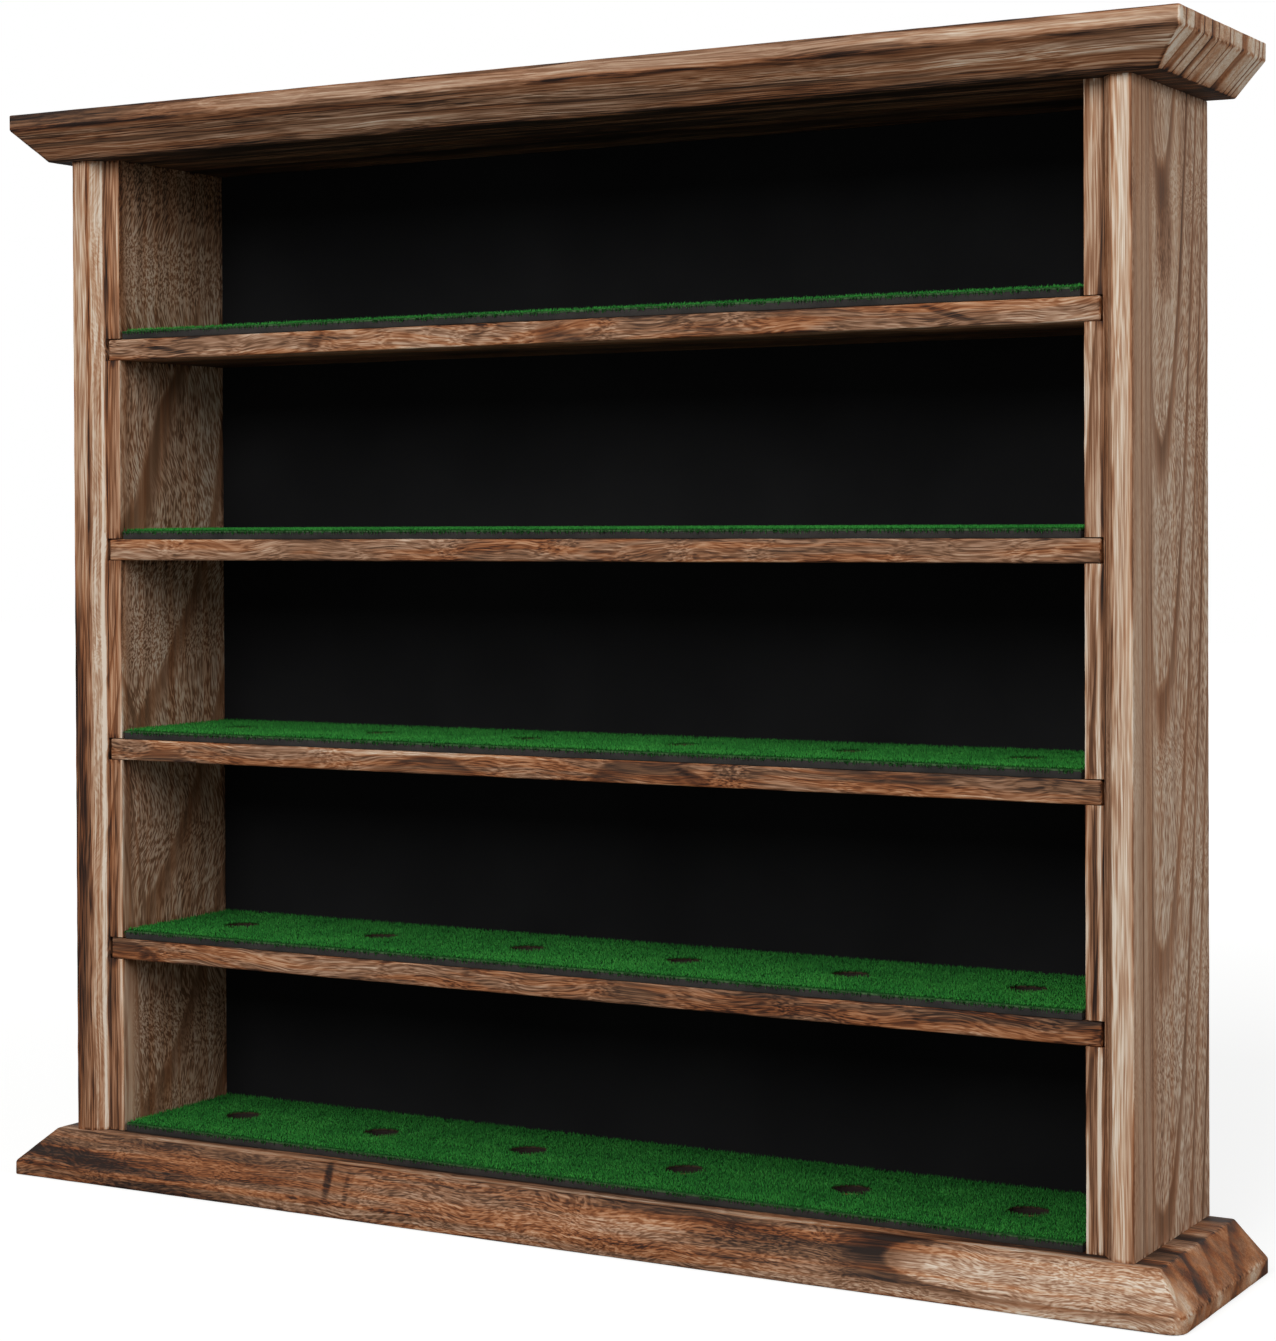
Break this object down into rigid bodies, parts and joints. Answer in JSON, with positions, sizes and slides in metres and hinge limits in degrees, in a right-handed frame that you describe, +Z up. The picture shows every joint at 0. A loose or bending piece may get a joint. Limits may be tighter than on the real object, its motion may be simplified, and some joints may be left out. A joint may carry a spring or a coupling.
{
  "type": "golf ball display case",
  "caption": "Free-standing open wooden display case with bevelled crown and base boards; turf-lined shelves with round seat holes hold golf balls in rows.",
  "frame": {"origin": "middle of the base board's footprint, on the surface that the case stands on", "axes": "+X to the right along the shelves, -Y towards the open front, +Z up"},
  "size_m": [0.3808, 0.072, 0.3338],
  "materials": {
    "burnt_wood": "burnt and wire-brushed softwood, open grain, matt",
    "shelf_wood": "burnt and wire-brushed softwood, open grain, matt",
    "black_back": "thin board, painted matt black",
    "black_foam": "closed-cell foam rubber, matt",
    "green_turf": "short-pile artificial turf",
    "zinc_steel": "zinc plated",
    "dowel_wood": "bare hardwood"
  },
  "bodies": {
    "root": {"top_board": "burnt_wood", "base_board": "burnt_wood", "left_side": "burnt_wood", "right_side": "burnt_wood", "back_panel": "black_back", "shelf_1": "shelf_wood", "shelf_2": "shelf_wood", "shelf_3": "shelf_wood", "shelf_4": "shelf_wood", "foam_strip_1": "black_foam", "foam_strip_2": "black_foam", "foam_strip_3": "black_foam", "foam_strip_4": "black_foam", "foam_strip_5": "black_foam", "turf_strip_1": "green_turf", "turf_strip_2": "green_turf", "turf_strip_3": "green_turf", "turf_strip_4": "green_turf", "turf_strip_5": "green_turf", "base_screws": "zinc_steel", "top_dowels": "dowel_wood", "back_nails": "zinc_steel"}
  },
  "joints": []
}
